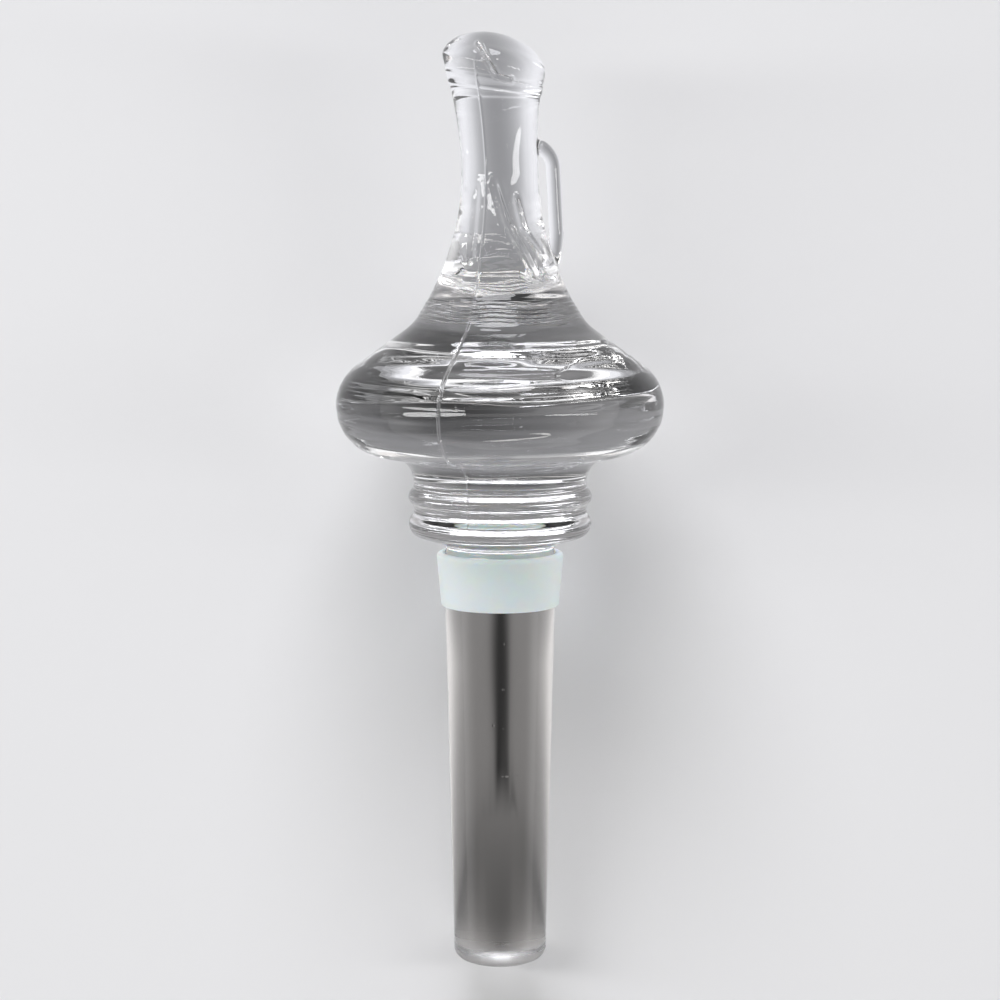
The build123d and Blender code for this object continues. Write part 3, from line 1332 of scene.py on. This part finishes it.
        # The glowing sheet with its painted tint and painted shade, shown only to rays that leave the
        # glass.
        sheet, paper = nodes.add("ShaderNodeEmission"), nodes.add("ShaderNodeEmission")
        nodes.link(nodes.blend(nodes.ramp(y, self.cooling), self.warm, self.cool), sheet.inputs["Color"])
        nodes.link(self.painted_shade_under(nodes, x, y), sheet.inputs["Strength"])
        nodes.set(paper, Color=self.far_tone)

        ray = nodes.add("ShaderNodeLightPath").outputs
        square = nodes.math("ADD", nodes.math("MULTIPLY", x, x), nodes.math("MULTIPLY", y, y))
        distant = nodes.ramp(nodes.math("SQRT", square), self.far)
        distant = nodes.math("MULTIPLY", ray["Is Camera Ray"], distant)
        floor = nodes.layer(ray["Is Transmission Ray"], matt.outputs["BSDF"], sheet.outputs["Emission"])
        nodes.surface(nodes.layer(distant, floor, paper.outputs["Emission"]))
        material.cycles.emission_sampling = "NONE"
        return material


@dataclass(frozen=True)
class Softbox:
    """An oval studio lamp aimed at the stopper."""

    name: str
    place: Place
    size: Point
    radiance: float
    colour: tuple[float, float, float] = (1.0, 1.0, 1.0)
    aim: Place = (0.0, 0.0, 0.02)

    def build(self) -> bpy.types.Object:
        """Makes the lamp.

        Returns:
            The lamp, linked to the scene.
        """
        data = bpy.data.lights.new(self.name, "AREA")
        data.shape = "ELLIPSE"
        data.size, data.size_y = self.size
        data.energy = self.radiance * math.pi * math.pi / 4 * self.size[0] * self.size[1]
        data.color = self.colour
        lamp = bpy.data.objects.new(self.name, data)
        lamp.location = self.place
        lamp.rotation_euler = (Vector(self.aim) - Vector(self.place)).to_track_quat("-Z", "Y").to_euler()
        bpy.context.scene.collection.objects.link(lamp)
        return lamp


@dataclass
class Studio:
    """Floor, lamps, surroundings and camera."""

    floor_half: float = 4.0
    distance: float = 450 * MM
    sensor: float = 36.0
    lens_ratio: float = 3.0
    clip: Point = (0.01, 50.0)
    lean: float = math.radians(5.05)
    bulb_centre: Place = (0.0, 15.0 * MM, 24.22 * MM)
    below_bulb: float = 14.25 * MM
    horizon: float = 1.2
    zenith: float = 0.12
    band: Point = (0.1, 0.5)
    backdrop: float = 0.8
    lamps: tuple[Softbox, ...] = (
        Softbox("head_softbox", (-0.24, 2.08, 1.46), (2.24, 1.36), 8.0, (0.96, 0.96, 1.0)),
        Softbox("left_softbox", (-0.5, 0.02, 0.5), (0.09, 0.6), 10.2),
        Softbox("right_softbox", (0.53, -0.04, 0.46), (0.07, 0.5), 8.4),
        Softbox("foot_softbox", (0.12, -0.6, 0.34), (0.5, 0.08), 7.4, (1.0, 0.98, 0.95)),
    )

    def build_floor(self, finish: FloorFinish) -> bpy.types.Object:
        """Lays the floor, which isn't part of the object.

        Args:
            finish: what the floor is made of.

        Returns:
            The floor.
        """
        half = self.floor_half
        corners = [(-half, -half, 0.0), (half, -half, 0.0), (half, half, 0.0), (-half, half, 0.0)]
        floor = mesh_object("studio_floor", np.asarray(corners), [(0, 1, 2, 3)])
        floor.data.materials.append(finish.material())
        return floor

    def light(self) -> None:
        """Sets up the lamps, and a world that is palest at the horizon and even to the camera."""
        for lamp in self.lamps:
            lamp.build()
        world = bpy.data.worlds.new("studio_world")
        world.use_nodes = True
        nodes = Nodes(world.node_tree)
        out, sky = nodes.add("ShaderNodeOutputWorld"), nodes.add("ShaderNodeBackground")
        place, split = nodes.add("ShaderNodeTexCoord"), nodes.add("ShaderNodeSeparateXYZ")
        nodes.link(place.outputs["Generated"], split.inputs["Vector"])
        rise = nodes.ramp(split.outputs["Z"], self.band, (self.horizon, self.zenith))
        seen = nodes.add("ShaderNodeLightPath").outputs["Is Camera Ray"]
        lit = nodes.math("MULTIPLY", rise, nodes.math("SUBTRACT", 1.0, seen))
        strength = nodes.math("ADD", lit, nodes.math("MULTIPLY", seen, self.backdrop))
        nodes.link(strength, sky.inputs["Strength"])
        nodes.link(sky.outputs["Background"], out.inputs["Surface"])
        nodes.set(sky, Color=(1.0, 1.0, 1.0, 1.0))
        bpy.context.scene.world = world

    def aim_camera(self) -> bpy.types.Object:
        """Sets the camera over the lying stopper, as the photograph looks at it upright.

        Returns:
            The camera.
        """
        data = bpy.data.cameras.new("camera")
        data.sensor_width = self.sensor
        data.lens = self.sensor * self.lens_ratio
        data.clip_start, data.clip_end = self.clip
        camera = bpy.data.objects.new("camera", data)
        side = Vector((1.0, 0.0, 0.0))
        up = Vector((0.0, math.cos(self.lean), math.sin(self.lean)))
        back = side.cross(up)
        camera.rotation_euler = Matrix((side, up, back)).transposed().to_euler()
        camera.location = Vector(self.bulb_centre) + back * self.distance - up * self.below_bulb
        bpy.context.scene.collection.objects.link(camera)
        bpy.context.scene.camera = camera
        return camera


def main() -> None:
    """Builds the camera, the two pieces and the studio round them."""
    logging.basicConfig(level=logging.INFO, format="%(name)s: %(message)s")
    bpy.context.scene.view_settings.view_transform = "Standard"
    studio = Studio()
    studio.aim_camera()
    rest = Rest()

    glass = GlassStopper(rest)
    piece = glass.build()
    glass.dress(piece, GlassFinish())
    log.info("%s: %d faces", piece.name, len(piece.data.polygons))

    collar = SealingCollar(glass.shank, rest)
    piece = collar.build()
    collar.dress(piece, CollarFinish())
    log.info("%s: %d faces", piece.name, len(piece.data.polygons))

    studio.build_floor(FloorFinish())
    studio.light()
    log.info("studio: %d lamps", len(studio.lamps))


if __name__ == "__main__":
    main()
